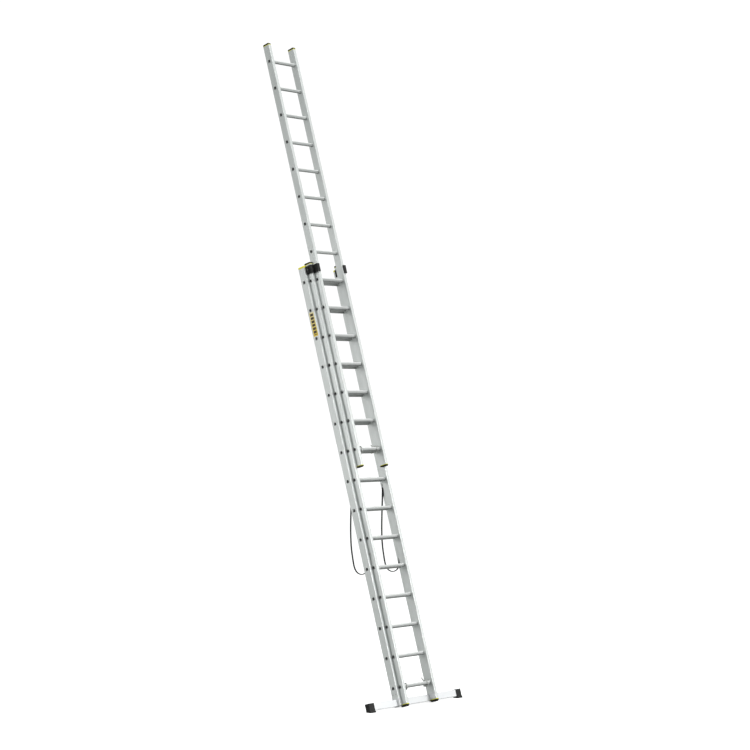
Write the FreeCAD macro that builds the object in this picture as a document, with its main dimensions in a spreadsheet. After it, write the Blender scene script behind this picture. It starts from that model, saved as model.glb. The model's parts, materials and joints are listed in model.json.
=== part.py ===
"""Three-section extension ladder, raised by eight rungs and leaning against a wall.

Every piece of the ladder is drawn in the ladder's own directions: X across the rungs, Y from the
climber's side (negative) to the wall side (positive), Z along the stiles.  One placement then leans
the whole ladder and stands it on the floor.  Sizes are millimetres.
"""
import FreeCAD, Part
import math
import os

import Sketcher
from FreeCAD import Placement, Rotation, Vector

SIZES = [
    ("rung_pitch", 280),
    ("rung_count", 15),
    ("first_rung", 140),
    ("raised_rungs", 8),
    ("rear_width", 534),
    ("stile_width", 34),
    ("stile_depth", 76),
    ("stile_wall", 1.6),
    ("stile_corner", 3),
    ("section_gap", 3),
    ("nest_clearance", 2),
    ("rear_stile_start", 46),
    ("rear_stile_above", 137),
    ("inner_stile_below", 18),
    ("inner_stile_above", 160),
    ("rung_depth", 26),
    ("rung_height", 30),
    ("rung_corner", 6),
    ("rung_wall", 1.6),
    ("rung_fit", 0.1),
    ("collar_thickness", 1),
    ("collar_rim", 3),
    ("cap_thickness", 20),
    ("inner_cap_thickness", 5),
    ("cap_corner", 7),
    ("cap_plug", 25),
    ("plug_clearance", 0.2),
    ("pad_inset", 1.5),
    ("pad_recess", 2),
    ("pad_proud", 15),
    ("pad_round", 6),
    ("foot_holder", 6),
    ("foot_sole", 21),
    ("end_holder", 5),
    ("end_sole", 13),
    ("sole_round", 20),
    ("end_round", 12),
    ("clip_plate", 2),
    ("clip_height", 58),
    ("bar_length", 1312),
    ("bar_depth", 40),
    ("bar_height", 62),
    ("bar_wall", 2),
    ("bar_gap", 1),
    ("bar_centre", 4),
    ("bar_clearance", 0.2),
    ("bracket_below", 6),
    ("bracket_round", 16),
    ("bracket_tongue", 60),
    ("bracket_bolt", 4),
    ("shoe_length", 72),
    ("shoe_wall", 4),
    ("shoe_end", 5),
    ("sole_level", 45),
    ("sole_front", 6),
    ("pivot_height", 107),
    ("pivot_ahead", 24),
    ("pivot_radius", 5),
    ("running_clearance", 0.06),
    ("knuckle_radius", 18),
    ("guide_height", 80),
    ("guide_wall", 10),
    ("guide_clearance", 2),
    ("swing_lap", 22),
    ("upper_lap", 21),
    ("hook_thickness", 6),
    ("hook_inset", 44),
    ("catch_thickness", 5),
    ("catch_gap", 0.5),
    ("catch_pin", 3),
    ("catch_drop", 29),
    ("rivet_radius", 2.4),
    ("rivet_head", 5),
    ("rivet_head_height", 2),
    ("strap_width", 18),
    ("strap_thickness", 8),
    ("label_width", 58),
    ("label_length", 236),
    ("label_thickness", 0.6),
    ("label_start", 3521),
    ("lean", 16.45),
]

# The straps hang in a plane along the wall direction: distance behind the lower end of the ladder,
# then height above that end.
STRAP_ROUTE = [
    (586.5, 1942.5), (590, 1799), (596, 1649), (597, 1519), (590, 1399), (574, 1309), (553, 1210.4),
    (519.4, 1164.2), (465, 1146.5), (410.6, 1164.2), (377, 1210.4), (379, 1311.1),
]

doc = FreeCAD.newDocument("extension_ladder")
sheet = doc.addObject("Spreadsheet::Sheet", "Sizes")
for line, (alias, value) in enumerate(SIZES, start=1):
    sheet.set("A%d" % line, alias)
    sheet.set("B%d" % line, str(value))
    sheet.setAlias("B%d" % line, alias)
doc.recompute()

SIDES = (("left", -1), ("right", 1))
S = "Sizes."
NODES = []

STEP_IN = "(%sstile_width + %ssection_gap)" % (S, S)
NEST = "(%sstile_depth / 2 + %srung_depth / 2 + %snest_clearance)" % (S, S, S)
LIFT = "(%sraised_rungs * %srung_pitch)" % (S, S)
LAST_RUNG = "(%sfirst_rung + (%srung_count - 1) * %srung_pitch)" % (S, S, S)
HALF = {
    "rear": "(%srear_width / 2)" % S,
    "middle": "(%srear_width / 2 - %s)" % (S, STEP_IN),
    "upper": "(%srear_width / 2 - 2 * %s)" % (S, STEP_IN),
}
AHEAD = {"rear": "0", "middle": "(-%s)" % NEST, "upper": "(-2 * %s)" % NEST}
RAISED = {"rear": "0", "middle": "0", "upper": LIFT}
START = {
    "rear": "%srear_stile_start" % S,
    "middle": "(-%sinner_stile_below)" % S,
    "upper": "(%s - %sinner_stile_below)" % (LIFT, S),
}
END = {
    "rear": "(%s + %srear_stile_above)" % (LAST_RUNG, S),
    "middle": "(%s + %sinner_stile_above)" % (LAST_RUNG, S),
    "upper": "(%s + %s + %sinner_stile_above)" % (LIFT, LAST_RUNG, S),
}
PIVOT_Y = "(-%sstile_depth / 2 - %spivot_ahead)" % (S, S)
PIVOT_Z = "(%s + %spivot_height)" % (LAST_RUNG, S)


def number(expression):
    """The value of an expression written in the sheet's names."""
    return float(sheet.evalExpression(expression))


def new_body(label):
    body = doc.addObject("PartDesign::Body", label)
    body.Label = label
    NODES.append(body)
    return body


def origin_plane(body, role):
    for feature in body.Origin.OriginFeatures:
        if feature.Role == role:
            return feature
    raise ValueError(role)


def new_sketch(body, role, across, up, out):
    """A sketch on one of the body's own planes, shifted by three expressions."""
    sketch = body.newObject("Sketcher::SketchObject", body.Name + "_sketch")
    sketch.AttachmentSupport = [(origin_plane(body, role), "")]
    sketch.MapMode = "FlatFace"
    for axis, shift in zip("xyz", (across, up, out)):
        sketch.setExpression("AttachmentOffset.Base." + axis, shift)
    return sketch


def rectangle(body, role, wide, tall, shift):
    """A rectangle centred on the sketch's own origin."""
    sketch = new_sketch(body, role, *shift)
    right, top = number(wide) / 2, number(tall) / 2
    corners = [Vector(-right, -top), Vector(right, -top), Vector(right, top), Vector(-right, top)]
    for index in range(4):
        sketch.addGeometry(Part.LineSegment(corners[index], corners[(index + 1) % 4]), False)
    for index in range(4):
        sketch.addConstraint(Sketcher.Constraint("Coincident", index, 2, (index + 1) % 4, 1))
    for index, kind in enumerate(("Horizontal", "Vertical", "Horizontal", "Vertical")):
        sketch.addConstraint(Sketcher.Constraint(kind, index))
    sketch.addConstraint(Sketcher.Constraint("Symmetric", 0, 1, 2, 1, -1, 1))
    bind(sketch, Sketcher.Constraint("DistanceX", 0, 1, 0, 2, 2 * right), "wide", wide)
    bind(sketch, Sketcher.Constraint("DistanceY", 1, 1, 1, 2, 2 * top), "tall", tall)
    return sketch


def bind(sketch, rule, name, expression):
    """Adds a dimension, names it and ties it to an expression."""
    sketch.renameConstraint(sketch.addConstraint(rule), name)
    sketch.setExpression("Constraints." + name, expression)


def rounded_rectangle(body, role, wide, tall, radius, shift):
    """A rectangle with round corners, centred on the sketch's own origin."""
    sketch = new_sketch(body, role, *shift)
    r = number(radius)
    right, top = number(wide) / 2, number(tall) / 2
    x, y = right - r, top - r
    quarter = math.pi / 2
    outline = (
        (Vector(-x, -top), Vector(x, -top), Vector(x, -y), -quarter),
        (Vector(right, -y), Vector(right, y), Vector(x, y), 0),
        (Vector(x, top), Vector(-x, top), Vector(-x, y), quarter),
        (Vector(-right, y), Vector(-right, -y), Vector(-x, -y), 2 * quarter),
    )
    for start, end, centre, turn in outline:
        sketch.addGeometry(Part.LineSegment(start, end), False)
        circle = Part.Circle(centre, Vector(0, 0, 1), r)
        sketch.addGeometry(Part.ArcOfCircle(circle, turn, turn + quarter), False)
    for side in range(4):
        flat, bend, following = 2 * side, 2 * side + 1, (2 * side + 2) % 8
        sketch.addConstraint(Sketcher.Constraint("Tangent", flat, 2, bend, 1))
        sketch.addConstraint(Sketcher.Constraint("Tangent", bend, 2, following, 1))
        sketch.addConstraint(Sketcher.Constraint("Horizontal" if side % 2 == 0 else "Vertical", flat))
        if side > 0:
            sketch.addConstraint(Sketcher.Constraint("Equal", 1, bend))
    sketch.addConstraint(Sketcher.Constraint("Symmetric", 1, 3, 5, 3, -1, 1))
    bind(sketch, Sketcher.Constraint("Radius", 1, r), "radius", radius)
    bind(sketch, Sketcher.Constraint("DistanceX", 6, 1, 2, 1, 2 * right), "wide", wide)
    bind(sketch, Sketcher.Constraint("DistanceY", 0, 1, 4, 1, 2 * top), "tall", tall)
    return sketch


def polygon(body, role, points, shift):
    """A closed outline through points given as pairs of expressions."""
    sketch = new_sketch(body, role, *shift)
    values = [Vector(number(across), number(up)) for across, up in points]
    count = len(points)
    for index in range(count):
        sketch.addGeometry(Part.LineSegment(values[index], values[(index + 1) % count]), False)
    for index in range(count):
        sketch.addConstraint(Sketcher.Constraint("Coincident", index, 2, (index + 1) % count, 1))
    for index, (across, up) in enumerate(points):
        for kind, name, expression in (("DistanceX", "x", across), ("DistanceY", "y", up)):
            rule = Sketcher.Constraint(kind, -1, 1, index, 1, number(expression))
            bind(sketch, rule, "%s%d" % (name, index), expression)
    return sketch


def circle(body, role, radius, shift):
    sketch = new_sketch(body, role, *shift)
    sketch.addGeometry(Part.Circle(Vector(0, 0), Vector(0, 0, 1), number(radius)), False)
    sketch.addConstraint(Sketcher.Constraint("Coincident", 0, 3, -1, 1))
    bind(sketch, Sketcher.Constraint("Radius", 0, number(radius)), "radius", radius)
    return sketch


def pad(body, sketch, length, symmetric=False, backwards=False):
    feature = body.newObject("PartDesign::Pad", body.Name + "_pad")
    feature.Profile = sketch
    feature.SideType = "Symmetric" if symmetric else "One side"
    feature.Reversed = backwards
    feature.setExpression("Length", length)
    doc.recompute()
    return feature


def pocket(body, sketch, length, symmetric=False, forwards=False):
    """Cuts along the sketch's normal when forwards is true, and against it otherwise."""
    before = body.Shape.Volume
    feature = body.newObject("PartDesign::Pocket", body.Name + "_pocket")
    feature.Profile = sketch
    feature.SideType = "Symmetric" if symmetric else "One side"
    feature.Reversed = forwards
    feature.setExpression("Length", length)
    doc.recompute()
    if body.Shape.Volume > before - 1e-3:
        raise ValueError("a pocket in %s cuts nothing" % body.Label)
    return feature


def pattern(body, originals, axis, spacing, count):
    feature = body.newObject("PartDesign::LinearPattern", body.Name + "_pattern")
    feature.Originals = originals
    feature.Direction = (origin_plane(body, axis), [""])
    feature.Mode = "Extent"
    feature.setExpression("Length", "%s * (%s - 1)" % (spacing, count))
    feature.setExpression("Occurrences", count)
    body.Tip = feature
    doc.recompute()
    return feature


def round_edges(body, radius, chosen):
    """Fillets the edges of the body's solid that the test accepts."""
    doc.recompute()
    base = body.Tip
    names = ["Edge%d" % (n + 1) for n, edge in enumerate(base.Shape.Edges) if chosen(edge)]
    feature = body.newObject("PartDesign::Fillet", body.Name + "_round")
    feature.Base = (base, names)
    feature.setExpression("Radius", radius)
    doc.recompute()
    return feature


def runs_along(edge, axis):
    """True for a straight edge along the given axis (0, 1 or 2)."""
    if edge.Curve.TypeId != "Part::GeomLine":
        return False
    direction = edge.Curve.Direction
    return abs(abs(direction[axis]) - 1) < 1e-6


def lies_at(edge, axis, place):
    box = edge.BoundBox
    low, high = ((box.XMin, box.XMax), (box.YMin, box.YMax), (box.ZMin, box.ZMax))[axis]
    return abs(low - place) < 1e-4 and abs(high - place) < 1e-4


def span(side, inner, outer):
    """Start and length along X of a piece between two distances from the middle plane."""
    start = inner if side > 0 else "-(%s)" % outer
    return start, "(%s) - (%s)" % (outer, inner)


def side_prism(body, side, points, inner, outer):
    """A piece with a side outline, given as (Y, Z) pairs, between two distances from the middle."""
    start, length = span(side, inner, outer)
    return pad(body, polygon(body, "YZ_Plane", points, ("0", "0", start)), length)


def plan_prism(body, side, points, low, high):
    """A piece with a plan outline, given as (distance from the middle, Y) pairs, between two heights."""
    outline = [("%d * (%s)" % (side, distance), across) for distance, across in points]
    return pad(body, polygon(body, "XY_Plane", outline, ("0", "0", low)), "%s - %s" % (high, low))


def cross_hole(body, side, radius, across, up, inner, outer):
    """A round hole along X between two distances from the middle plane."""
    start, length = span(side, inner, outer)
    return pocket(body, circle(body, "YZ_Plane", radius, (across, up, start)), length, forwards=True)


def cylinder(name, radius, length, x, y, z, along):
    """A cylinder that starts at a point and runs along +X or +Y."""
    piece = doc.addObject("Part::Cylinder", name)
    piece.setExpression("Radius", radius)
    piece.setExpression("Height", length)
    turn = Rotation(Vector(0, 0, 1), Vector(1, 0, 0) if along == "x" else Vector(0, 1, 0))
    piece.Placement = Placement(Vector(), turn)
    for axis, place in zip("xyz", (x, y, z)):
        piece.setExpression("Placement.Base." + axis, place)
    return piece


def block(name, wide, deep, tall, foot):
    """A box centred on a point in plan and standing on it."""
    piece = doc.addObject("Part::Box", name)
    x, y, z = foot
    for alias, size in (("Length", wide), ("Width", deep), ("Height", tall)):
        piece.setExpression(alias, size)
    piece.setExpression("Placement.Base.x", "%s - (%s) / 2" % (x, wide))
    piece.setExpression("Placement.Base.y", "%s - (%s) / 2" % (y, deep))
    piece.setExpression("Placement.Base.z", z)
    return piece


def fused(name, pieces):
    whole = doc.addObject("Part::MultiFuse", name)
    whole.Shapes = pieces
    return whole


def group(label, pieces):
    """One node that holds several separate, identical fasteners."""
    whole = doc.addObject("Part::Compound", label)
    whole.Label = label
    whole.Links = pieces
    NODES.append(whole)
    return whole


def cross_rivet(name, side, across, up, face, grip, radius, head, head_height):
    """A rivet along X with its head outside face, its shank running grip towards the middle."""
    head_start, head_length = span(side, face, "%s + %s" % (face, head_height))
    shank_start, shank_length = span(side, "%s - %s" % (face, grip), face)
    return fused(name, [
        cylinder(name + "_head", head, head_length, head_start, across, up, "x"),
        cylinder(name + "_shank", radius, shank_length, shank_start, across, up, "x"),
    ])


def make_stile(section, side_name, side):
    """A hollow box extrusion with a row of holes for the rungs."""
    body = new_body("%s_stile_%s" % (section, side_name))
    centre = "%d * (%s - %sstile_width / 2)" % (side, HALF[section], S)
    place = (centre, AHEAD[section], START[section])
    length = "%s - %s" % (END[section], START[section])
    pad(body, rectangle(body, "XY_Plane", S + "stile_width", S + "stile_depth", place), length)
    round_edges(body, S + "stile_corner", lambda edge: runs_along(edge, 2))
    hollow_wide = "%sstile_width - 2 * %sstile_wall" % (S, S)
    hollow_deep = "%sstile_depth - 2 * %sstile_wall" % (S, S)
    pocket(body, rectangle(body, "XY_Plane", hollow_wide, hollow_deep, place), length, forwards=True)
    first = "%s + %sfirst_rung" % (RAISED[section], S)
    hole = rounded_rectangle(
        body, "YZ_Plane", "%srung_depth + %srung_fit" % (S, S), "%srung_height + %srung_fit" % (S, S),
        S + "rung_corner", (AHEAD[section], first, centre))
    cut = pocket(body, hole, "2 * %sstile_width" % S, symmetric=True)
    pattern(body, [cut], "Z_Axis", S + "rung_pitch", S + "rung_count")
    if section == "rear":
        add_bracket_rivet_holes(body, side)
    return body


def add_bracket_rivet_holes(body, side):
    for across in RIVET_ROWS:
        cross_hole(body, side, S + "rivet_radius", across, RIVET_LEVEL,
                   "%s - %sstile_width - 1" % (HALF["rear"], S), "%s + 1" % HALF["rear"])


def make_rungs(section):
    """All the section's rungs: swaged tubes with a collar on each side of each stile wall."""
    body = new_body("%s_rungs" % section)
    level = "%s + %sfirst_rung" % (RAISED[section], S)
    ahead = AHEAD[section]
    length = "2 * (%s + %scollar_thickness)" % (HALF[section], S)
    tube = pad(body, rounded_rectangle(
        body, "YZ_Plane", S + "rung_depth", S + "rung_height", S + "rung_corner",
        (ahead, level, "0")), length, symmetric=True)
    originals = [tube]
    collar_wide = "%srung_depth + 2 * %scollar_rim" % (S, S)
    collar_tall = "%srung_height + 2 * %scollar_rim" % (S, S)
    collar_round = "%srung_corner + %scollar_rim" % (S, S)
    for side_name, side in SIDES:
        outside = (HALF[section], "%s + %scollar_thickness" % (HALF[section], S))
        inner_face = "%s - %sstile_width" % (HALF[section], S)
        inside = ("%s - %scollar_thickness" % (inner_face, S), inner_face)
        for inner, outer in (outside, inside):
            start, thickness = span(side, inner, outer)
            collar = rounded_rectangle(body, "YZ_Plane", collar_wide, collar_tall, collar_round,
                                       (ahead, level, start))
            originals.append(pad(body, collar, thickness))
    bore = rounded_rectangle(
        body, "YZ_Plane", "%srung_depth - 2 * %srung_wall" % (S, S),
        "%srung_height - 2 * %srung_wall" % (S, S), "%srung_corner - %srung_wall" % (S, S),
        (ahead, level, "0"))
    originals.append(pocket(body, bore, length, symmetric=True))
    pattern(body, originals, "Z_Axis", S + "rung_pitch", S + "rung_count")
    return body


def plug_size():
    shrink = "2 * (%sstile_wall + %splug_clearance)" % (S, S)
    return "%sstile_width - %s" % (S, shrink), "%sstile_depth - %s" % (S, shrink)


def stile_centre(section, side):
    return "%d * (%s - %sstile_width / 2)" % (side, HALF[section], S)


def make_top_cap(section, side_name, side):
    """A cap with a plug that fills the stile's open upper end."""
    body = new_body("%s_top_cap_%s" % (section, side_name))
    thickness = S + ("cap_thickness" if section == "rear" else "inner_cap_thickness")
    place = (stile_centre(section, side), AHEAD[section], END[section])
    pad(body, rectangle(body, "XY_Plane", S + "stile_width", S + "stile_depth", place), thickness)
    top = number("%s + %s" % (END[section], thickness))
    round_edges(body, S + "stile_corner", lambda edge: runs_along(edge, 2))
    if section == "rear":
        round_edges(body, S + "cap_corner", lambda edge: lies_at(edge, 2, top) and runs_along(edge, 0))
    else:
        pad_wide, pad_deep = pad_size()
        lid = "%s + %s" % (END[section], thickness)
        recess = rectangle(body, "XY_Plane", pad_wide, pad_deep, (place[0], place[1], lid))
        pocket(body, recess, S + "pad_recess")
    plug_wide, plug_deep = plug_size()
    pad(body, rectangle(body, "XY_Plane", plug_wide, plug_deep, place), S + "cap_plug", backwards=True)
    return body


def pad_size():
    return "%sstile_width - 2 * %spad_inset" % (S, S), "%sstile_depth - 2 * %spad_inset" % (S, S)


def make_cap_pads(section):
    """The soft domed pads let into a section's two top caps, which meet the wall."""
    body = new_body("%s_cap_pads" % section)
    floor = "%s + %sinner_cap_thickness - %spad_recess" % (END[section], S, S)
    pad_wide, pad_deep = pad_size()
    height = "%spad_recess + %spad_proud" % (S, S)
    for side_name, side in SIDES:
        place = (stile_centre(section, side), AHEAD[section], floor)
        pad(body, rectangle(body, "XY_Plane", pad_wide, pad_deep, place), height)
    top = number("%s + %s" % (floor, height))
    round_edges(body, S + "pad_round", lambda edge: lies_at(edge, 2, top) and runs_along(edge, 0))


def make_foot(section, side_name, side):
    """The plug, holder and soft sole under a stile: two nodes."""
    name = "foot" if section == "middle" else "end_cap"
    holder_size = S + ("foot_holder" if section == "middle" else "end_holder")
    sole_size = S + ("foot_sole" if section == "middle" else "end_sole")
    curve = S + ("sole_round" if section == "middle" else "end_round")
    holder = new_body("%s_%s_%s" % (section, name, side_name))
    centre = stile_centre(section, side)
    place = (centre, AHEAD[section], START[section])
    pad(holder, rectangle(holder, "XY_Plane", S + "stile_width", S + "stile_depth", place),
        holder_size, backwards=True)
    round_edges(holder, S + "stile_corner", lambda edge: runs_along(edge, 2))
    plug_wide, plug_deep = plug_size()
    pad(holder, rectangle(holder, "XY_Plane", plug_wide, plug_deep, place), S + "cap_plug")
    sole = new_body("%s_%s_sole_%s" % (section, name, side_name))
    seat = (centre, AHEAD[section], "%s - %s" % (START[section], holder_size))
    pad(sole, rectangle(sole, "XY_Plane", S + "stile_width", S + "stile_depth", seat),
        sole_size, backwards=True)
    bottom = number("%s - %s - %s" % (START[section], holder_size, sole_size))
    round_edges(sole, curve, lambda edge: lies_at(edge, 2, bottom) and runs_along(edge, 0))


def make_foot_clips():
    """Plates riveted over the inner faces of the middle stiles, above their feet."""
    face = "%s - %sstile_width" % (HALF["middle"], S)
    depth = "%sstile_depth - 4" % S
    plates = [block("clip_%s" % side_name, S + "clip_plate", depth, S + "clip_height",
                    ("%d * (%s - %sclip_plate / 2)" % (side, face, S), AHEAD["middle"], START["middle"]))
              for side_name, side in SIDES]
    group("foot_clips", plates)


BAR_Y = "(%s + %sstile_depth / 2 + %sbar_gap + %sbar_depth / 2)" % (AHEAD["middle"], S, S, S)
BAR_Z = "%sbar_centre" % S
RIVET_LEVEL = "%srear_stile_start + 34" % S
RIVET_ROWS = ("-18", "18")


def make_bar():
    """The stabiliser beam: a wide box tube across the foot of the ladder."""
    body = new_body("stabiliser_bar")
    place = (BAR_Y, BAR_Z, "0")
    pad(body, rectangle(body, "YZ_Plane", S + "bar_depth", S + "bar_height", place),
        S + "bar_length", symmetric=True)
    round_edges(body, S + "stile_corner", lambda edge: runs_along(edge, 0))
    hollow = rectangle(body, "YZ_Plane", "%sbar_depth - 2 * %sbar_wall" % (S, S),
                       "%sbar_height - 2 * %sbar_wall" % (S, S), place)
    pocket(body, hollow, S + "bar_length", symmetric=True)
    for side_name, side in SIDES:
        bolt_hole(body, side, "%sbar_depth * 2" % S)
    return body


def bolt_hole(body, side, length):
    """A hole along Y for the bolt that holds the bar in a bracket."""
    sketch = circle(body, "XZ_Plane", S + "bracket_bolt", (stile_centre("rear", side), BAR_Z, "0"))
    pocket(body, sketch, "2 * (%s)" % length, symmetric=True)


def make_bracket(side_name, side):
    """A cast saddle round the bar, with a tongue inside the rear stile."""
    body = new_body("stabiliser_bracket_%s" % side_name)
    outer = HALF["rear"]
    inner = "%s - %sstile_width" % (HALF["rear"], S)
    half_deep = "%sstile_depth / 2" % S
    low = "%s - %sbar_height / 2 - %sbracket_below" % (BAR_Z, S, S)
    top = S + "rear_stile_start"
    outline = [("-" + half_deep, low), (half_deep, low), (half_deep, top), ("-" + half_deep, top)]
    side_prism(body, side, outline, inner, outer)
    bottom = number(low)
    round_edges(body, S + "bracket_round", lambda edge: lies_at(edge, 2, bottom) and runs_along(edge, 0))
    window = rectangle(body, "YZ_Plane", "%sbar_depth + 2 * %sbar_clearance" % (S, S),
                       "%sbar_height + 2 * %sbar_clearance" % (S, S),
                       (BAR_Y, BAR_Z, stile_centre("rear", side)))
    pocket(body, window, "2 * %sstile_width" % S, symmetric=True)
    plug_wide, plug_deep = plug_size()
    tongue = rectangle(body, "XY_Plane", plug_wide, plug_deep,
                       (stile_centre("rear", side), "0", S + "rear_stile_start"))
    pad(body, tongue, S + "bracket_tongue")
    bolt_hole(body, side, S + "stile_depth")
    for across in RIVET_ROWS:
        cross_hole(body, side, S + "rivet_radius", across, RIVET_LEVEL, inner, outer)
    return body


def make_bracket_fasteners():
    """Cross rivets through stile and tongue, and the bolts and nuts through bracket and bar."""
    grip = "%sstile_width" % S
    rivets = []
    for side_name, side in SIDES:
        for index, across in enumerate(RIVET_ROWS):
            rivets.append(cross_rivet("tongue_rivet_%s%d" % (side_name, index), side, across, RIVET_LEVEL,
                                      HALF["rear"], grip, S + "rivet_radius", S + "rivet_head",
                                      S + "rivet_head_height"))
    group("bracket_rivets", rivets)
    bolts, nuts = [], []
    front, rear = "-%sstile_depth / 2" % S, "%sstile_depth / 2" % S
    for side_name, side in SIDES:
        centre = stile_centre("rear", side)
        head = cylinder("bolt_head_" + side_name, "%sbracket_bolt * 1.8" % S, "5",
                        centre, "%s - 5" % front, BAR_Z, "y")
        shank = cylinder("bolt_shank_" + side_name, S + "bracket_bolt", "%sstile_depth + 9" % S,
                         centre, front, BAR_Z, "y")
        bolts.append(fused("bolt_" + side_name, [head, shank]))
        blank = cylinder("nut_blank_" + side_name, "%sbracket_bolt * 1.75" % S, "7", centre, rear, BAR_Z, "y")
        bore = cylinder("nut_bore_" + side_name, S + "bracket_bolt", "7", centre, rear, BAR_Z, "y")
        nut = doc.addObject("Part::Cut", "nut_" + side_name)
        nut.Base = blank
        nut.Tool = bore
        nuts.append(nut)
    group("bar_bolts", bolts)
    group("bar_nuts", nuts)


def floor_level(across):
    """Height of the floor along the stiles' direction, below a point this far towards the wall."""
    return "(%s - %ssole_level + (%s - %s) * tan(%slean * 1 deg))" % (BAR_Z, S, across, BAR_Y, S)


def make_shoe(side_name, side):
    """A moulded shoe over the end of the bar, its sole cut flat to the floor."""
    body = new_body("stabiliser_shoe_%s" % side_name)
    end = "%sbar_length / 2 + %sbar_clearance" % (S, S)
    outer = "%s + %sshoe_end" % (end, S)
    inner = "%s - %sshoe_length" % (outer, S)
    wall = "%sshoe_wall + %sbar_clearance" % (S, S)
    front = "%s - %sbar_depth / 2 - %s" % (BAR_Y, S, wall)
    rear = "%s + %sbar_depth / 2 + %s" % (BAR_Y, S, wall)
    low = "%s - %sbar_height / 2 - %s" % (BAR_Z, S, wall)
    high = "%s + %sbar_height / 2 + %s" % (BAR_Z, S, wall)
    toe = "%s - %ssole_front" % (front, S)
    outline = [
        (toe, floor_level(toe)),
        (rear, floor_level(rear)),
        (rear, high),
        (front, high),
        (front, "%s + 4" % low),
        (toe, "%s - 8" % low),
    ]
    side_prism(body, side, outline, inner, outer)
    start, length = span(side, inner, end)
    hollow = rectangle(body, "YZ_Plane", "%sbar_depth + 2 * %sbar_clearance" % (S, S),
                       "%sbar_height + 2 * %sbar_clearance" % (S, S), (BAR_Y, BAR_Z, start))
    pocket(body, hollow, length, forwards=True)
    return body


EAR_OUTER = "(%s - 16)" % HALF["rear"]
EAR_INNER = "(%s - 21)" % HALF["rear"]
SWING_OUTER = "(%s - 22.5)" % HALF["rear"]
SWING_INNER = "(%s + 1)" % HALF["middle"]
FRONT_REAR = "(-%sstile_depth / 2)" % S
EAR_BASE = "3"
PLATE = "(%ssection_gap - 1)" % S
GUIDE_LOW = "(%s - %sguide_height / 2)" % (PIVOT_Z, S)
GUIDE_HIGH = "(%s + %sguide_height / 2)" % (PIVOT_Z, S)


def make_hinge_ear(side_name, side):
    """A bracket on the rear stile's front face that carries the pivot pin."""
    body = new_body("hinge_ear_%s" % side_name)
    base_front = "%s - %s" % (FRONT_REAR, EAR_BASE)
    low, high = "%s - 42" % PIVOT_Z, "%s + 42" % PIVOT_Z
    base = [(base_front, low), (FRONT_REAR, low), (FRONT_REAR, high), (base_front, high)]
    side_prism(body, side, base, "%s - %sstile_width + 2" % (HALF["rear"], S), EAR_OUTER)
    tip = "%s - 13" % PIVOT_Y
    web = [(tip, "%s - 26" % PIVOT_Z), (base_front, low), (base_front, high), (tip, "%s + 26" % PIVOT_Z)]
    side_prism(body, side, web, EAR_INNER, EAR_OUTER)
    cross_hole(body, side, S + "pivot_radius", PIVOT_Y, PIVOT_Z, "%s - 1" % EAR_INNER, "%s + 1" % EAR_OUTER)
    return body


def make_swing_guide(side_name, side):
    """The moulded guide that clasps a middle stile and swings on the pivot pin."""
    body = new_body("swing_guide_%s" % side_name)
    outer_face = HALF["middle"]
    inner_face = "%s - %sstile_width" % (outer_face, S)
    rear = "%s + %sstile_depth / 2" % (AHEAD["middle"], S)
    plate = "%s + %s" % (outer_face, PLATE)
    back, lug = "%s + 3" % rear, "%s - 16" % rear
    wrap = [(plate, PIVOT_Y), (plate, back), (inner_face + " - 2", back), (inner_face + " - 2", lug),
            (inner_face, lug), (inner_face, rear), (outer_face, rear), (outer_face, PIVOT_Y)]
    plan_prism(body, side, wrap, GUIDE_LOW, "%s - 8" % GUIDE_HIGH)
    front = "%s - %sstile_depth / 2" % (AHEAD["middle"], S)
    lip_rear = "%s - %sguide_clearance" % (front, S)
    lip_front = "%s - %sguide_wall" % (lip_rear, S)
    knuckle = "%s + %sknuckle_radius" % (PIVOT_Y, S)
    housing = [(lip_front, GUIDE_LOW), (knuckle, GUIDE_LOW), (knuckle, PIVOT_Z),
               ("%s + %sknuckle_radius * 0.7" % (PIVOT_Y, S), "%s + %sknuckle_radius * 0.7" % (PIVOT_Z, S)),
               (PIVOT_Y, "%s + %sknuckle_radius" % (PIVOT_Z, S)), (PIVOT_Y, GUIDE_HIGH),
               (lip_front, GUIDE_HIGH)]
    side_prism(body, side, housing, SWING_INNER, SWING_OUTER)
    lip = [(lip_front, GUIDE_LOW), (lip_rear, GUIDE_LOW), (lip_rear, GUIDE_HIGH), (lip_front, GUIDE_HIGH)]
    side_prism(body, side, lip, "%s - %sswing_lap" % (HALF["middle"], S), SWING_OUTER)
    cross_hole(body, side, "%spivot_radius + %srunning_clearance" % (S, S), PIVOT_Y, PIVOT_Z,
               "%s - 0.5" % HALF["middle"], "%s + 1" % SWING_OUTER)
    return body


def make_upper_guide(side_name, side):
    """The moulded guide on a middle stile's front face that the upper section slides in."""
    body = new_body("upper_guide_%s" % side_name)
    base_rear = "%s - %sstile_depth / 2" % (AHEAD["middle"], S)
    base_front = "%s - 3" % base_rear
    web_inner = "%s + %sguide_clearance" % (HALF["upper"], S)
    web_outer = "%s - %sswing_lap - 3" % (HALF["middle"], S)
    low, high = "%s - 1" % GUIDE_LOW, "%s - 1" % GUIDE_HIGH
    upper_front = "%s - %sstile_depth / 2" % (AHEAD["upper"], S)
    lip_rear = "%s - %sguide_clearance" % (upper_front, S)
    lip_front = "%s - %sguide_wall" % (lip_rear, S)
    web = [(lip_front, low), (base_rear, low), (base_rear, high), (lip_front, high)]
    side_prism(body, side, web, web_inner, web_outer)
    lip = [(lip_front, low), (lip_rear, low), (lip_rear, high), (lip_front, high)]
    side_prism(body, side, lip, "%s - %supper_lap" % (HALF["upper"], S), web_outer)
    foot = [(base_front, low), (base_rear, low), (base_rear, high), (base_front, high)]
    side_prism(body, side, foot, "%s + 1.5" % web_inner, web_outer)
    return body


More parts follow.
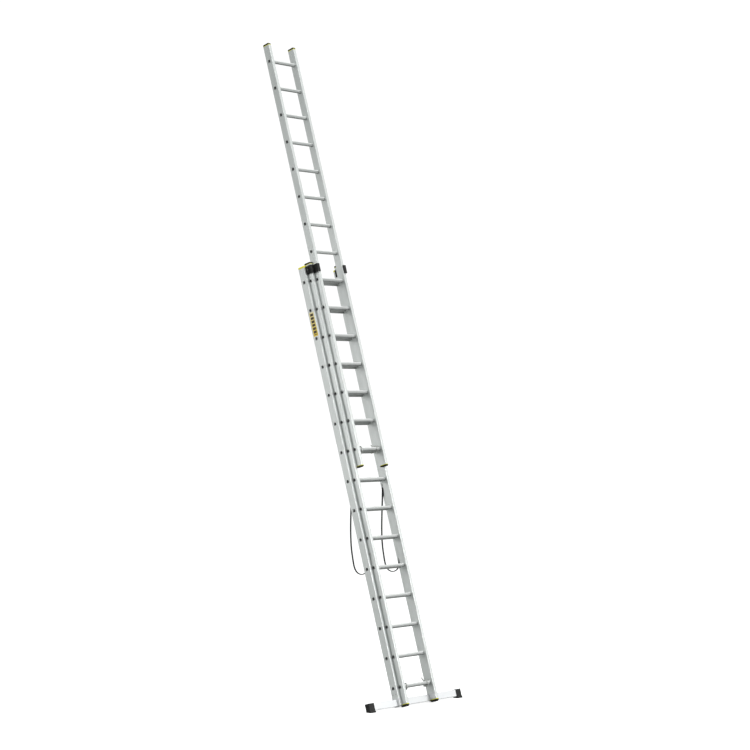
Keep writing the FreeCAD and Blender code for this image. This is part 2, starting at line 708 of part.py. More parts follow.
def make_pivot_pins():
    """Pins fixed in the ears, on which the middle section swings."""
    pins = []
    for side_name, side in SIDES:
        start, length = span(side, "%s + 1" % HALF["middle"], EAR_OUTER)
        shank = cylinder("pin_%s" % side_name, S + "pivot_radius", length, start, PIVOT_Y, PIVOT_Z, "x")
        start, length = span(side, EAR_OUTER, "%s + 2.5" % EAR_OUTER)
        head = cylinder("pin_head_%s" % side_name, "%spivot_radius + 3" % S, length, start,
                        PIVOT_Y, PIVOT_Z, "x")
        pins.append(fused("pivot_pin_%s" % side_name, [shank, head]))
    group("pivot_pins", pins)


def make_rear_rivets():
    """Rivet heads on the hinge ears' bases and on the strap clips."""
    rivets = []
    seat = "%s - %s - %srivet_head_height" % (FRONT_REAR, EAR_BASE, S)
    clip_face = "%s - %sstile_width - %sstrap_width - 2" % (HALF["rear"], S, S)
    for side_name, side in SIDES:
        centre = "%d * (%s - %sstile_width + 7.5)" % (side, HALF["rear"], S)
        for index, level in enumerate(("%s - 36" % PIVOT_Z, "%s + 36" % PIVOT_Z)):
            rivets.append(cylinder("ear_rivet_%s%d" % (side_name, index), S + "rivet_head",
                                   S + "rivet_head_height", centre, seat, level, "y"))
        start, length = span(side, "%s - %srivet_head_height" % (clip_face, S), clip_face)
        rivets.append(cylinder("clip_rivet_%s" % side_name, S + "rivet_head", length, start,
                               "12", "2056", "x"))
    group("rear_rivets", rivets)


CATCH_REACH = {"middle": "38", "upper": "70"}


def rung_centre(section):
    return AHEAD[section], "%s + %sfirst_rung" % (RAISED[section], S)


def hook_outline(section):
    """The hook's side outline about its own rung, whose neighbour lies one nesting step behind."""
    across, up = rung_centre(section)
    half = "%srung_height / 2" % S
    gap = "%s + %scatch_gap" % (half, S)
    near = "%s - %srung_depth / 2" % (NEST, S)
    far = "%s + %srung_depth / 2" % (NEST, S)
    if section == "middle":
        shape = [("-19", "-20"), ("-19", "20"), ("-8", "27"), ("20", "27"), ("44", "60"), ("49", "56"),
                 ("%s - 8" % near, "%s + 6" % half), ("%s - 8" % near, "-%s + 2" % half),
                 ("%s - 4" % near, "-%s - 8" % half), ("14", "-34"), ("-10", "-34")]
    else:
        shape = [("-19", "-20"), ("-19", "20"), ("-8", "29"), ("30", "29"), ("52", "54"), ("57", "50"),
                 ("46", "28"), ("%s + 8" % far, "28"), ("%s + 8" % far, "4"), ("%s + 2" % far, "0"),
                 ("%s + 1" % far, gap), ("%s - 6" % near, gap), ("%s - 6" % near, "-%s" % half),
                 ("14", "-34"), ("-10", "-34")]
    return [("%s + %s" % (across, y), "%s + %s" % (up, z)) for y, z in shape]


def hook_span(section):
    face = "%s - %sstile_width" % (HALF[section], S)
    outer = "%s - %shook_inset" % (face, S)
    return "%s - %shook_thickness" % (outer, S), outer


def make_hook(section, side_name, side):
    """A plate keyed on the section's lowest rung that hooks over the section behind."""
    body = new_body("%s_hook_%s" % (section, side_name))
    inner, outer = hook_span(section)
    side_prism(body, side, hook_outline(section), inner, outer)
    across, up = rung_centre(section)
    start, length = span(side, "%s - 1" % inner, "%s + 1" % outer)
    key = rounded_rectangle(body, "YZ_Plane", "%srung_depth + %srung_fit" % (S, S),
                            "%srung_height + %srung_fit" % (S, S), S + "rung_corner", (across, up, start))
    pocket(body, key, length, forwards=True)
    cross_hole(body, side, S + "catch_pin", across, "%s - %scatch_drop" % (up, S),
               "%s - 1" % inner, "%s + 1" % outer)
    return body


def make_catch(section, side_name, side):
    """A sprung lever beside the hook that closes its mouth from below."""
    body = new_body("%s_catch_%s" % (section, side_name))
    inner, outer = hook_span(section)
    across, up = rung_centre(section)
    level = "%s - %scatch_drop" % (up, S)
    reach = CATCH_REACH[section]
    shape = [("-7", "-4"), ("0", "-8"), (reach, "-1"), ("%s + 3" % reach, "8"),
             ("%s - 4" % reach, "9"), ("8", "5"), ("0", "8"), ("-7", "4")]
    outline = [("%s + %s" % (across, y), "%s + %s" % (level, z)) for y, z in shape]
    near = "%s - %scatch_gap" % (inner, S)
    side_prism(body, side, outline, "%s - %scatch_thickness" % (near, S), near)
    cross_hole(body, side, "%scatch_pin + %srunning_clearance" % (S, S), across, level,
               "%s - %scatch_thickness - 1" % (near, S), "%s + 0.3" % near)
    return body


def make_catch_pins(section):
    pins = []
    inner, outer = hook_span(section)
    across, up = rung_centre(section)
    for side_name, side in SIDES:
        near = "%s - 2 * %scatch_gap - %scatch_thickness" % (inner, S, S)
        start, length = span(side, near, outer)
        shank = cylinder("%s_catch_shank_%s" % (section, side_name), S + "catch_pin", length, start,
                         across, "%s - %scatch_drop" % (up, S), "x")
        start, length = span(side, "%s - 2" % near, near)
        head = cylinder("%s_catch_head_%s" % (section, side_name), "%scatch_pin + 2.5" % S, length, start,
                        across, "%s - %scatch_drop" % (up, S), "x")
        pins.append(fused("%s_catch_pin_%s" % (section, side_name), [shank, head]))
    group("%s_catch_pins" % section, pins)


ANCHOR_X = "(%s - %sstrap_width / 2 - 1)" % ("%s - %sstile_width" % (HALF["rear"], S), S)


def make_strap_clip(side_name, side):
    """The block on a rear stile's inner face that holds the strap's upper end."""
    body = new_body("strap_clip_%s" % side_name)
    face = "%s - %sstile_width" % (HALF["rear"], S)
    outline = [("4", "2030"), ("20", "2030"), ("22", "2072"), ("4", "2072")]
    side_prism(body, side, outline, "%s - %sstrap_width - 2" % (face, S), face)
    return body


def make_strap_anchor(side_name, side):
    """The bracket bolted to a middle stile that holds the strap's lower end."""
    body = new_body("strap_anchor_%s" % side_name)
    rear = "%s + %sstile_depth / 2" % (AHEAD["middle"], S)
    back = "%s + 14" % rear
    clamp = [(rear, "1366"), (back, "1366"), (back, "1406"), (rear, "1406")]
    inner = "%s - %sstrap_width - 2" % (HALF["middle"], S)
    side_prism(body, side, clamp, inner, "%s + 1.2" % HALF["middle"])
    flange = [("%s - 44" % rear, "1374"), (rear, "1374"), (rear, "1404"), ("%s - 44" % rear, "1404")]
    side_prism(body, side, flange, HALF["middle"], "%s + 1.2" % HALF["middle"])
    return body


def make_anchor_bolts():
    bolts = []
    for side_name, side in SIDES:
        start, length = span(side, "%s + 1.2" % HALF["middle"], "%s + 2.4" % HALF["middle"])
        bolts.append(cylinder("anchor_bolt_%s" % side_name, "11", length, start,
                              "%s + 8" % AHEAD["middle"], "1389", "x"))
    group("strap_anchor_bolts", bolts)


def make_label():
    """A plain coloured plate on the rear section's left stile."""
    body = new_body("label_plate")
    half = "%slabel_width / 2" % S
    top = "%slabel_start + %slabel_length" % (S, S)
    front, rear = "-4 - %s" % half, "-4 + %s" % half
    outline = [(front, S + "label_start"), (rear, S + "label_start"), (rear, top), (front, top)]
    side_prism(body, -1, outline, HALF["rear"], "%s + %slabel_thickness" % (HALF["rear"], S))


def strap_path():
    """Straight runs joined by tangent arcs as large as the shorter run allows, in the YZ plane."""
    points = [Vector(0, across, up) for across, up in STRAP_ROUTE]
    edges, radii = [], []
    start = points[0]
    for before, corner, after in zip(points, points[1:], points[2:]):
        arriving, leaving = corner - before, after - corner
        turn = arriving.getAngle(leaving)
        cut = 0.45 * min(arriving.Length, leaving.Length)
        radii.append(cut / math.tan(turn / 2))
        first = corner - arriving.normalize() * cut
        last = corner + leaving.normalize() * cut
        sag = radii[-1] * (1 / math.cos(turn / 2) - 1)
        inward = (first + last) * 0.5 - corner
        middle = corner + inward.normalize() * sag
        edges.append(Part.LineSegment(start, first).toShape())
        edges.append(Part.Arc(first, middle, last).toShape())
        start = last
    edges.append(Part.LineSegment(start, points[-1]).toShape())
    return Part.Wire(edges), radii


def make_strap(side_name, side):
    """A strap of webbing that hangs slack between the rear and middle sections."""
    path, radii = strap_path()
    wide, thick = number(S + "strap_width"), number(S + "strap_thickness")
    start = path.Edges[0].firstVertex().Point
    along = path.Edges[0].tangentAt(path.Edges[0].FirstParameter)
    across = along.cross(Vector(1, 0, 0))
    corners = [start + Vector(u * wide / 2, 0, 0) + across * (v * thick / 2)
               for u, v in ((-1, -1), (1, -1), (1, 1), (-1, 1), (-1, -1))]
    solid = path.makePipeShell([Part.makePolygon(corners)], True, False)
    webbing = doc.addObject("Part::Feature", "strap_%s" % side_name)
    webbing.Label = "strap_%s" % side_name
    webbing.Shape = solid
    webbing.Placement = Placement(Vector(side * number(ANCHOR_X), 0, 0), Rotation())
    if side > 0:
        print("strap length %.1f, smallest radius %.1f" % (path.Length, min(radii)))
        print("strap volume %.0f, section times length %.0f" % (solid.Volume, wide * thick * path.Length))
    return webbing


def build_sections():
    for section in ("rear", "middle", "upper"):
        for side_name, side in SIDES:
            make_stile(section, side_name, side)
            make_top_cap(section, side_name, side)
            if section != "rear":
                make_foot(section, side_name, side)
                make_hook(section, side_name, side)
                make_catch(section, side_name, side)
        make_rungs(section)
        if section != "rear":
            make_cap_pads(section)
            make_catch_pins(section)


def build_fittings():
    make_bar()
    make_foot_clips()
    for side_name, side in SIDES:
        make_bracket(side_name, side)
        make_shoe(side_name, side)
        make_hinge_ear(side_name, side)
        make_swing_guide(side_name, side)
        make_upper_guide(side_name, side)
        make_strap_clip(side_name, side)
        make_strap_anchor(side_name, side)
    make_bracket_fasteners()
    make_pivot_pins()
    make_rear_rivets()
    make_anchor_bolts()
    make_label()


def stand_on_floor(straps):
    """Leans every piece, rests the shoes on the floor and centres the ladder along Y."""
    lean = number(S + "lean")
    drop = number(S + "sole_level")
    slope = math.radians(lean)
    base_y, base_z = number(BAR_Y), number(BAR_Z)
    rise = base_y * math.sin(slope) - (base_z - drop) * math.cos(slope)
    tilt = Rotation(Vector(1, 0, 0), -lean)
    for piece in NODES:
        piece.Placement = Placement(Vector(0, 0, rise), tilt)
    doc.recompute()
    boxes = [piece.Shape.optimalBoundingBox(False) for piece in NODES if "rungs" not in piece.Label]
    shift = -(min(box.YMin for box in boxes) + max(box.YMax for box in boxes)) / 2
    for piece in NODES:
        piece.Placement = Placement(Vector(0, shift, rise), tilt)
    for webbing in straps:
        place = webbing.Placement
        webbing.Placement = Placement(place.Base + Vector(0, shift, rise), place.Rotation)
    print("shift %.3f rise %.3f" % (shift, rise))


def check_and_export():
    doc.recompute()
    for item in doc.Objects:
        if "Invalid" in item.State or "Error" in item.State:
            raise ValueError("%s failed: %s" % (item.Label, item.State))
    for piece in NODES:
        if piece.Shape.isNull() or not piece.Shape.isValid() or not piece.Shape.Solids:
            raise ValueError("%s has no valid solid" % piece.Label)
    os.makedirs("parts", exist_ok=True)
    for piece in NODES:
        piece.Shape.exportStep("parts/%s.step" % piece.Label)
    print("%d nodes" % len(NODES))


build_sections()
build_fittings()
straps = [make_strap(side_name, side) for side_name, side in SIDES]
stand_on_floor(straps)
NODES.extend(straps)
check_and_export()
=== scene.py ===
"""Looks of the three-section extension ladder: materials, straps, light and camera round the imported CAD."""

import bmesh
import bpy
import json
import math
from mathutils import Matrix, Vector


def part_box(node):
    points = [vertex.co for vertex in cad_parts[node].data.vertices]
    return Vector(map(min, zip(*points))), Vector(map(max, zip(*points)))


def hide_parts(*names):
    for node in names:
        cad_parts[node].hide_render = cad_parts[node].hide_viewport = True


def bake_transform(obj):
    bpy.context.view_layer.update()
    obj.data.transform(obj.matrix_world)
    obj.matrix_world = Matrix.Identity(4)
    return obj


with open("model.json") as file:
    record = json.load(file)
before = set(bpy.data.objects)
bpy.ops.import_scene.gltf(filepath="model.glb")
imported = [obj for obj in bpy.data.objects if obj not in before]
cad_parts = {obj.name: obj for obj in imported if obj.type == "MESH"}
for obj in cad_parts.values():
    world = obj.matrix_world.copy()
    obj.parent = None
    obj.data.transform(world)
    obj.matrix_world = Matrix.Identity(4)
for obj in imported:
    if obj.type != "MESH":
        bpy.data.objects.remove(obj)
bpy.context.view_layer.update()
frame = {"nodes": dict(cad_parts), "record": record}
nodes = frame["nodes"]

LEAN = math.radians(16.45)
SHIFT = -0.835857
RISE = 0.041021
STRAP_X = 0.223
RUNG_PITCH = 0.280
RUNG_HEIGHT = 0.030
STRAP_WIDTH = 0.018
STRAP_THICKNESS = 0.0078
LABEL_LENGTH = 0.236
LABEL_WIDTH = 0.058
# Distance behind the ladder's lower end and height above that end, as in the CAD model.
STRAP_ROUTE = [
    (0.5865, 1.9425), (0.590, 1.799), (0.596, 1.649), (0.597, 1.519), (0.590, 1.399), (0.574, 1.309),
    (0.553, 1.2104), (0.5194, 1.1642), (0.465, 1.1465), (0.4106, 1.1642), (0.377, 1.2104), (0.379, 1.3111),
]


# ---------------------------------------------------------------- camera, floor and light

def add_camera():
    data = bpy.data.cameras.new("camera")
    data.lens = 99.8
    data.sensor_width = 36
    data.clip_end = 200
    data.shift_x = -0.0007
    camera = bpy.data.objects.new("camera", data)
    camera.location = (-14.7933, -13.1365, 2.7893)
    camera.rotation_mode = "QUATERNION"
    camera.rotation_quaternion = Vector((0.75659, 0.65376, 0.01333)).to_track_quat("-Z", "Y")
    bpy.context.scene.collection.objects.link(camera)
    bpy.context.scene.camera = camera


def add_area_light(name, place, target, size, power):
    data = bpy.data.lights.new(name, "AREA")
    data.shape = "DISK"
    data.size = size
    data.energy = power
    lamp = bpy.data.objects.new(name, data)
    lamp.location = place
    lamp.rotation_mode = "QUATERNION"
    lamp.rotation_quaternion = (Vector(target) - Vector(place)).to_track_quat("-Z", "Y")
    bpy.context.scene.collection.objects.link(lamp)


def add_world():
    """White behind the object, and a soft graded room that the metal reflects."""
    world = bpy.data.worlds.new("studio")
    bpy.context.scene.world = world
    world.use_nodes = True
    tree = world.node_tree
    tree.nodes.clear()
    output = tree.nodes.new("ShaderNodeOutputWorld")
    mix = tree.nodes.new("ShaderNodeMixShader")
    path = tree.nodes.new("ShaderNodeLightPath")
    seen = tree.nodes.new("ShaderNodeBackground")
    seen.inputs["Color"].default_value = (1, 1, 1, 1)
    seen.inputs["Strength"].default_value = 1.05
    lighting = tree.nodes.new("ShaderNodeBackground")
    place = tree.nodes.new("ShaderNodeTexCoord")
    parts = tree.nodes.new("ShaderNodeSeparateXYZ")
    height = tree.nodes.new("ShaderNodeMapRange")
    height.inputs["From Min"].default_value = -1
    height.inputs["From Max"].default_value = 1
    shade = tree.nodes.new("ShaderNodeValToRGB")
    shade.color_ramp.elements[0].position = 0.30
    shade.color_ramp.elements[0].color = (0.12, 0.125, 0.122, 1)
    shade.color_ramp.elements[1].position = 0.80
    shade.color_ramp.elements[1].color = (0.96, 1, 0.98, 1)
    lighting.inputs["Strength"].default_value = 0.72
    tree.links.new(place.outputs["Generated"], parts.inputs[0])
    tree.links.new(parts.outputs["Z"], height.inputs["Value"])
    tree.links.new(height.outputs["Result"], shade.inputs["Fac"])
    tree.links.new(shade.outputs["Color"], lighting.inputs["Color"])
    tree.links.new(path.outputs["Is Camera Ray"], mix.inputs[0])
    tree.links.new(lighting.outputs[0], mix.inputs[1])
    tree.links.new(seen.outputs[0], mix.inputs[2])
    tree.links.new(mix.outputs[0], output.inputs["Surface"])


def add_floor():
    mesh = bpy.data.meshes.new("floor")
    form = bmesh.new()
    bmesh.ops.create_grid(form, x_segments=1, y_segments=1, size=90)
    form.to_mesh(mesh)
    form.free()
    floor = bpy.data.objects.new("floor", mesh)
    bpy.context.scene.collection.objects.link(floor)
    material = bpy.data.materials.new("pale_floor")
    material.use_nodes = True
    tree = material.node_tree
    shader = tree.nodes["Principled BSDF"]
    shader.inputs["Base Color"].default_value = (0.55, 0.55, 0.55, 1)
    shader.inputs["Roughness"].default_value = 0.9
    lit = tree.nodes.new("ShaderNodeEmission")
    path = tree.nodes.new("ShaderNodeLightPath")
    both = tree.nodes.new("ShaderNodeAddShader")
    pick = tree.nodes.new("ShaderNodeMixShader")
    lit.inputs["Strength"].default_value = 0.72
    tree.links.new(shader.outputs[0], both.inputs[0])
    tree.links.new(lit.outputs[0], both.inputs[1])
    dull = tree.nodes.new("ShaderNodeBsdfDiffuse")
    dull.inputs["Color"].default_value = (0.40, 0.405, 0.40, 1)
    tree.links.new(path.outputs["Is Camera Ray"], pick.inputs[0])
    tree.links.new(dull.outputs[0], pick.inputs[1])
    tree.links.new(both.outputs[0], pick.inputs[2])
    tree.links.new(pick.outputs[0], tree.nodes["Material Output"].inputs["Surface"])
    mesh.materials.append(material)


# ---------------------------------------------------------------- material helpers

class Recipe:
    """A Principled material with its node tree close at hand."""

    def __init__(self, name, colour, roughness, metallic=0.0):
        self.material = bpy.data.materials.new(name)
        self.material.use_nodes = True
        self.tree = self.material.node_tree
        self.shader = self.tree.nodes["Principled BSDF"]
        self.shader.inputs["Base Color"].default_value = (*colour, 1)
        self.shader.inputs["Roughness"].default_value = roughness
        self.shader.inputs["Metallic"].default_value = metallic
        self.bump_from = None

    def node(self, kind, **values):
        made = self.tree.nodes.new(kind)
        for key, value in values.items():
            if key in made.inputs:
                made.inputs[key].default_value = value
            else:
                setattr(made, key, value)
        return made

    def link(self, source, target):
        self.tree.links.new(source, target)

    def along_ladder(self, scale=(1, 1, 1)):
        """Coordinates in metres with Z along the stiles, stretched by a scale."""
        place = self.node("ShaderNodeTexCoord")
        turn = self.node("ShaderNodeMapping")
        turn.inputs["Rotation"].default_value = (LEAN, 0, 0)
        self.link(place.outputs["Object"], turn.inputs["Vector"])
        stretch = self.node("ShaderNodeMapping")
        stretch.inputs["Scale"].default_value = scale
        self.link(turn.outputs["Vector"], stretch.inputs["Vector"])
        return stretch.outputs["Vector"]

    def noise(self, vector, scale, detail=3.0, rough=0.5):
        made = self.node("ShaderNodeTexNoise", Scale=scale, Detail=detail, Roughness=rough)
        self.link(vector, made.inputs["Vector"])
        return made.outputs["Fac"]

    def ramp(self, value, stops):
        made = self.node("ShaderNodeValToRGB")
        band = made.color_ramp
        while len(band.elements) < len(stops):
            band.elements.new(0.5)
        for element, (place, colour) in zip(band.elements, stops):
            element.position = place
            element.color = (*colour, 1)
        self.link(value, made.inputs["Fac"])
        return made.outputs["Color"]

    def spread(self, value, low, high):
        """A value remapped from 0..1 to low..high."""
        made = self.node("ShaderNodeMapRange")
        made.inputs["To Min"].default_value = low
        made.inputs["To Max"].default_value = high
        self.link(value, made.inputs["Value"])
        return made.outputs["Result"]

    def maths(self, operation, first, second):
        made = self.node("ShaderNodeMath", operation=operation)
        for index, value in enumerate((first, second)):
            if isinstance(value, (int, float)):
                made.inputs[index].default_value = value
            else:
                self.link(value, made.inputs[index])
        return made.outputs[0]

    def bump(self, height, depth, strength=1.0):
        made = self.node("ShaderNodeBump", Distance=depth, Strength=strength)
        self.link(height, made.inputs["Height"])
        if self.bump_from is not None:
            self.link(self.bump_from, made.inputs["Normal"])
        self.bump_from = made.outputs["Normal"]
        self.link(self.bump_from, self.shader.inputs["Normal"])

    def colour_from(self, value, dark, light):
        self.link(self.ramp(value, [(0.3, dark), (0.7, light)]), self.shader.inputs["Base Color"])

    def roughness_from(self, value, low, high):
        self.link(self.spread(value, low, high), self.shader.inputs["Roughness"])


def make_profile():
    """Extruded aluminium: die lines along the stile, faint mottling and handling marks."""
    recipe = Recipe("extruded_aluminium", (0.72, 0.735, 0.728), 0.36, 0.72)
    lines = recipe.noise(recipe.along_ladder((260, 260, 1.1)), 1.0, 4)
    cloud = recipe.noise(recipe.along_ladder((4, 4, 1.6)), 1.0, 3)
    scuffs = recipe.noise(recipe.along_ladder((35, 35, 9)), 1.0, 6, 0.65)
    mixed = recipe.maths("ADD", recipe.maths("MULTIPLY", lines, 0.45), recipe.maths("MULTIPLY", cloud, 0.55))
    recipe.colour_from(mixed, (0.665, 0.685, 0.678), (0.765, 0.78, 0.772))
    recipe.roughness_from(recipe.maths("MULTIPLY", recipe.maths("ADD", lines, scuffs), 0.5), 0.27, 0.47)
    recipe.bump(lines, 0.00006)
    recipe.bump(scuffs, 0.00004)
    return recipe.material


def make_beam():
    """The same aluminium with its die lines along the beam, its base colour painted brighter than the stiles'
    to stand in for light bounced up from the floor.
    """
    # Painted light: the brighter, less metallic base colour stands in for floor bounce light on the beam.
    recipe = Recipe("beam_aluminium_painted_bright", (0.80, 0.80, 0.81), 0.44, 0.35)
    lines = recipe.noise(recipe.along_ladder((1.2, 240, 240)), 1.0, 4)
    cloud = recipe.noise(recipe.along_ladder((2, 5, 5)), 1.0, 3)
    recipe.colour_from(recipe.maths("MULTIPLY", recipe.maths("ADD", lines, cloud), 0.5),
                       (0.74, 0.745, 0.76), (0.80, 0.805, 0.815))
    recipe.roughness_from(lines, 0.36, 0.52)
    recipe.bump(lines, 0.00006)
    return recipe.material


def make_rung():
    """Rung tube with ribs along it; its base colour is darker over the lower part as painted shade and
    brighter along the upper edge, partly tread wear and partly painted highlight.
    """
    recipe = Recipe("ribbed_aluminium", (0.76, 0.77, 0.78), 0.34, 0.7)
    place = recipe.along_ladder()
    ribs = recipe.node("ShaderNodeTexWave", wave_type="BANDS", bands_direction="Y",
                       wave_profile="SIN", Scale=62.0, Distortion=0.0)
    recipe.link(place, ribs.inputs["Vector"])
    lines = recipe.noise(recipe.along_ladder((2, 300, 300)), 1.0, 3)
    parts = recipe.node("ShaderNodeSeparateXYZ")
    recipe.link(place, parts.inputs["Vector"])
    up = recipe.maths("SUBTRACT", parts.outputs["Z"], SHIFT * math.sin(LEAN) + RISE * math.cos(LEAN))
    cycle = recipe.maths("FRACT", recipe.maths("DIVIDE", up, RUNG_PITCH), 0)
    level = recipe.maths("ADD", recipe.maths("MULTIPLY", recipe.maths("SUBTRACT", cycle, 0.5),
                                             RUNG_PITCH / RUNG_HEIGHT), 0.5)
    # Painted shade and highlight: base colour dark over each rung's lower part as painted shade, bright along
    # its upper edge as painted highlight mixed with tread wear.
    painted_shade_and_wear = recipe.ramp(level, [(0.0, (0.36, 0.37, 0.365)), (0.58, (0.45, 0.46, 0.455)),
                               (0.74, (0.80, 0.81, 0.805)), (1.0, (0.86, 0.865, 0.86))])
    streaks = recipe.node("ShaderNodeMixRGB", blend_type="MULTIPLY")
    streaks.inputs[0].default_value = 1.0
    recipe.link(painted_shade_and_wear, streaks.inputs[1])
    recipe.link(recipe.ramp(lines, [(0.3, (0.88, 0.88, 0.88)), (0.7, (1.0, 1.0, 1.0))]), streaks.inputs[2])
    recipe.link(streaks.outputs[0], recipe.shader.inputs["Base Color"])
    recipe.roughness_from(lines, 0.30, 0.48)
    recipe.bump(ribs.outputs["Fac"], 0.0005, 0.7)
    recipe.bump(lines, 0.00005)
    return recipe.material


def make_casting():
    """Cast or pressed aluminium with a fine grainy skin."""
    recipe = Recipe("cast_aluminium", (0.66, 0.67, 0.68), 0.5, 0.65)
    place = recipe.along_ladder()
    grain = recipe.noise(place, 900.0, 2)
    cloud = recipe.noise(place, 28.0, 4)
    recipe.colour_from(cloud, (0.60, 0.61, 0.62), (0.72, 0.725, 0.73))
    recipe.roughness_from(grain, 0.42, 0.62)
    recipe.bump(grain, 0.00012)
    return recipe.material


def make_zinc(name, tone):
    """Plated steel with cloudy, slightly warm crystals."""
    recipe = Recipe(name, (tone, tone, tone), 0.38, 0.9)
    place = recipe.along_ladder()
    cells = recipe.node("ShaderNodeTexVoronoi", Scale=260.0)
    recipe.link(place, cells.inputs["Vector"])
    cloud = recipe.noise(place, 60.0, 3)
    dull = (0.85 * tone, 0.86 * tone, 0.83 * tone)
    bright = (1.13 * tone, 1.13 * tone, 1.10 * tone)
    recipe.colour_from(cloud, dull, bright)
    recipe.roughness_from(cells.outputs["Distance"], 0.30, 0.55)
    recipe.bump(cloud, 0.00006)
    return recipe.material


def make_yellow(name, dark, light):
    """Moulded yellow plastic: a soft gloss with fine flow marks."""
    recipe = Recipe(name, light, 0.36)
    place = recipe.along_ladder()
    flow = recipe.noise(recipe.along_ladder((18, 18, 60)), 1.0, 4)
    grain = recipe.noise(place, 1400.0, 1)
    recipe.colour_from(flow, dark, light)
    recipe.roughness_from(flow, 0.28, 0.46)
    recipe.bump(grain, 0.00008)
    recipe.shader.inputs["Coat Weight"].default_value = 0.15
    recipe.shader.inputs["Coat Roughness"].default_value = 0.25
    return recipe.material


def make_black_plastic():
    """Matt black nylon with an eroded mould grain."""
    recipe = Recipe("black_nylon", (0.010, 0.010, 0.010), 0.5)
    place = recipe.along_ladder()
    grain = recipe.noise(place, 1100.0, 3, 0.6)
    wear = recipe.noise(place, 40.0, 5)
    recipe.colour_from(wear, (0.006, 0.006, 0.006), (0.018, 0.018, 0.018))
    recipe.roughness_from(wear, 0.48, 0.68)
    recipe.shader.inputs["Specular IOR Level"].default_value = 0.3
    recipe.bump(grain, 0.00018)
    return recipe.material


def make_rubber():
    """Dark rubber soles and pads with shallow tread grooves."""
    recipe = Recipe("dark_rubber", (0.014, 0.013, 0.010), 0.72)
    recipe.shader.inputs["Specular IOR Level"].default_value = 0.3
    place = recipe.along_ladder()
    tread = recipe.node("ShaderNodeTexWave", wave_type="BANDS", bands_direction="Y", Scale=32.0)
    recipe.link(place, tread.inputs["Vector"])
    dust = recipe.noise(place, 90.0, 5)
    recipe.colour_from(dust, (0.009, 0.008, 0.005), (0.026, 0.023, 0.014))
    recipe.roughness_from(dust, 0.62, 0.85)
    recipe.bump(tread.outputs["Fac"], 0.0008, 0.6)
    recipe.bump(dust, 0.0002)
    return recipe.material


def make_webbing():
    """Woven polyester strap: a twill of fine threads with two edge lines."""
    recipe = Recipe("black_webbing", (0.015, 0.015, 0.016), 0.82)
    place = recipe.node("ShaderNodeUVMap", uv_map="weave")
    across = recipe.node("ShaderNodeTexWave", wave_type="BANDS", bands_direction="DIAGONAL", Scale=1.0)
    recipe.link(place.outputs["UV"], across.inputs["Vector"])
    along = recipe.node("ShaderNodeTexWave", wave_type="BANDS", bands_direction="X", Scale=1.6)
    recipe.link(place.outputs["UV"], along.inputs["Vector"])
    weave = recipe.maths("MULTIPLY", across.outputs["Fac"], along.outputs["Fac"])
    recipe.link(recipe.ramp(weave, [(0.0, (0.006, 0.006, 0.007)), (1.0, (0.035, 0.035, 0.037))]),
                recipe.shader.inputs["Base Color"])
    recipe.bump(weave, 0.0004, 0.8)
    recipe.shader.inputs["Sheen Weight"].default_value = 0.08
    return recipe.material


def make_label():
    """A cream and yellow film printed with plain dark blocks, with no marks on it."""
    recipe = Recipe("label_film", (0.93, 0.76, 0.30), 0.35)
    low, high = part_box("label_plate")
    middle = (low + high) / 2
    along = middle.y * math.sin(LEAN) + middle.z * math.cos(LEAN)
    across = middle.y * math.cos(LEAN) - middle.z * math.sin(LEAN)
    place = recipe.along_ladder()
    parts = recipe.node("ShaderNodeSeparateXYZ")
    recipe.link(place, parts.inputs["Vector"])
    lift = recipe.maths("SUBTRACT", parts.outputs["Z"], along)
    up = recipe.maths("ADD", recipe.maths("DIVIDE", lift, LABEL_LENGTH), 0.5)
    wide = recipe.maths("DIVIDE", recipe.maths("SUBTRACT", parts.outputs["Y"], across), LABEL_WIDTH)
    inside = recipe.maths("LESS_THAN", recipe.maths("ABSOLUTE", wide, 0), 0.33)
    steps = recipe.maths("SINE", recipe.maths("MULTIPLY", up, 44.0), 0)
    blocks = recipe.maths("GREATER_THAN", steps, -0.60)
    clear = recipe.maths("LESS_THAN", recipe.maths("ABSOLUTE", recipe.maths("SUBTRACT", up, 0.5), 0), 0.44)
    dark = recipe.maths("MULTIPLY", recipe.maths("MULTIPLY", inside, blocks), clear)
    shades = [(0.0, (0.90, 0.62, 0.05)), (0.35, (0.93, 0.72, 0.16)), (1.0, (0.92, 0.80, 0.42))]
    field = recipe.ramp(up, shades)
    mix = recipe.node("ShaderNodeMixRGB")
    mix.inputs[2].default_value = (0.07, 0.045, 0.02, 1)
    recipe.link(dark, mix.inputs[0])
    recipe.link(field, mix.inputs[1])
    recipe.link(mix.outputs[0], recipe.shader.inputs["Base Color"])
    recipe.bump(recipe.noise(place, 120.0, 2), 0.00005)
    return recipe.material


# ---------------------------------------------------------------- straps

def strap_line(name, x):
    """The strap's centreline, sampled from a smooth curve through its route."""
    data = bpy.data.curves.new(name + "_route", "CURVE")
    data.dimensions = "3D"
    spline = data.splines.new("NURBS")
    spline.points.add(len(STRAP_ROUTE) - 1)
    for point, (behind, height) in zip(spline.points, STRAP_ROUTE):
        point.co = (x, behind + SHIFT, height + RISE, 1)
    spline.order_u = 3
    spline.use_endpoint_u = True
    spline.resolution_u = 14
    holder = bpy.data.objects.new(name + "_route", data)
    bpy.context.scene.collection.objects.link(holder)
    bpy.context.view_layer.update()
    mesh = bpy.data.meshes.new_from_object(holder)
    points = [vertex.co.copy() for vertex in mesh.vertices]
    bpy.data.objects.remove(holder)
    bpy.data.meshes.remove(mesh)
    bpy.data.curves.remove(data)
    return points


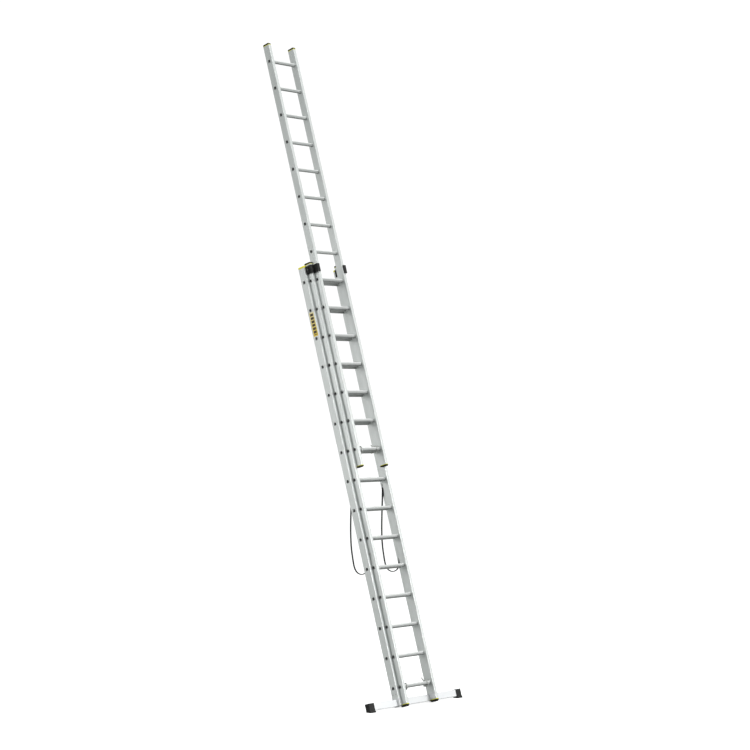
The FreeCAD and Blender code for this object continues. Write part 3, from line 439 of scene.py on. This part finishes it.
def ribbon(name, points, width, thickness):
    """A flat strap with thick rounded edges along a line in a plane of constant X."""
    half, bead = width / 2, thickness / 2
    section = []
    steps = 10
    for index in range(steps + 1):
        u = -1 + 2 * index / steps
        swell = 1.0 if abs(u) < 0.8 else 0.82
        section.append((u * half, swell * bead * (1 - max(0, abs(u) - 0.9) * 4)))
    ring = section + [(a, -b) for a, b in reversed(section)]
    form = bmesh.new()
    weave = form.loops.layers.uv.new("weave")
    rows, lengths = [], []
    across = Vector((1, 0, 0))
    travelled = 0.0
    for index, point in enumerate(points):
        before = points[max(0, index - 1)]
        after = points[min(len(points) - 1, index + 1)]
        along = (after - before).normalized()
        if index:
            travelled += (point - points[index - 1]).length
        lengths.append(travelled)
        face = along.cross(across)
        rows.append([form.verts.new(point + across * a + face * b) for a, b in ring])
    count = len(ring)
    for row in range(len(rows) - 1):
        for column in range(count):
            following = (column + 1) % count
            corners = ((row, column), (row, following), (row + 1, following), (row + 1, column))
            face = form.faces.new([rows[r][c] for r, c in corners])
            face.smooth = True
            for loop, (r, c) in zip(face.loops, corners):
                loop[weave].uv = (ring[c][0] * 500, lengths[r] * 500)
    form.faces.new(rows[0])
    form.faces.new(list(reversed(rows[-1])))
    bmesh.ops.recalc_face_normals(form, faces=form.faces)
    mesh = bpy.data.meshes.new(name)
    form.to_mesh(mesh)
    form.free()
    made = bpy.data.objects.new(name, mesh)
    bpy.context.scene.collection.objects.link(made)
    return made


def add_straps(webbing):
    for side_name, side in (("left", -1), ("right", 1)):
        points = strap_line(side_name, side * STRAP_X)
        strap = ribbon("webbing_" + side_name, points, STRAP_WIDTH, STRAP_THICKNESS)
        strap.data.materials.append(webbing)
        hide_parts("strap_" + side_name)
        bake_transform(strap)


# ---------------------------------------------------------------- put together

def dress():
    looks = {
        "aluminium_profile": make_profile(),
        "aluminium_rung": make_rung(),
        "aluminium_casting": make_casting(),
        "zinc_steel": make_zinc("zinc_plated_steel", 0.54),
        "yellow_plastic": make_yellow("green_yellow_plastic", (0.60, 0.58, 0.012), (0.74, 0.72, 0.03)),
        "black_plastic": make_black_plastic(),
        "black_rubber": make_rubber(),
        "strap_webbing": make_webbing(),
        "label_film": make_label(),
    }
    lemon = make_yellow("lemon_plastic", (0.86, 0.76, 0.02), (0.95, 0.88, 0.06))
    own_look = {
        "stabiliser_bar": make_beam(),
        "rear_top_cap_left": lemon,
        "rear_top_cap_right": lemon,
        "pivot_pins": make_zinc("blackened_steel", 0.10),
    }
    for part in frame["record"]["subparts"]:
        node = nodes[part["node"]]
        look = own_look.get(part["node"], looks[part["material_slot"]])
        node.data.materials.clear()
        node.data.materials.append(look)
    return looks


add_camera()
add_world()
add_floor()
add_area_light("key", (5, -13, 6), (0, 0, 2.5), 5, 1100)
add_area_light("top", (0, -3, 14), (0, 0, 3), 5, 900)
add_area_light("side", (-12, 5.5, 3.5), (0, 0, 2.5), 5, 210)
bpy.context.scene.view_settings.view_transform = "Standard"
looks = dress()
add_straps(looks["strap_webbing"])
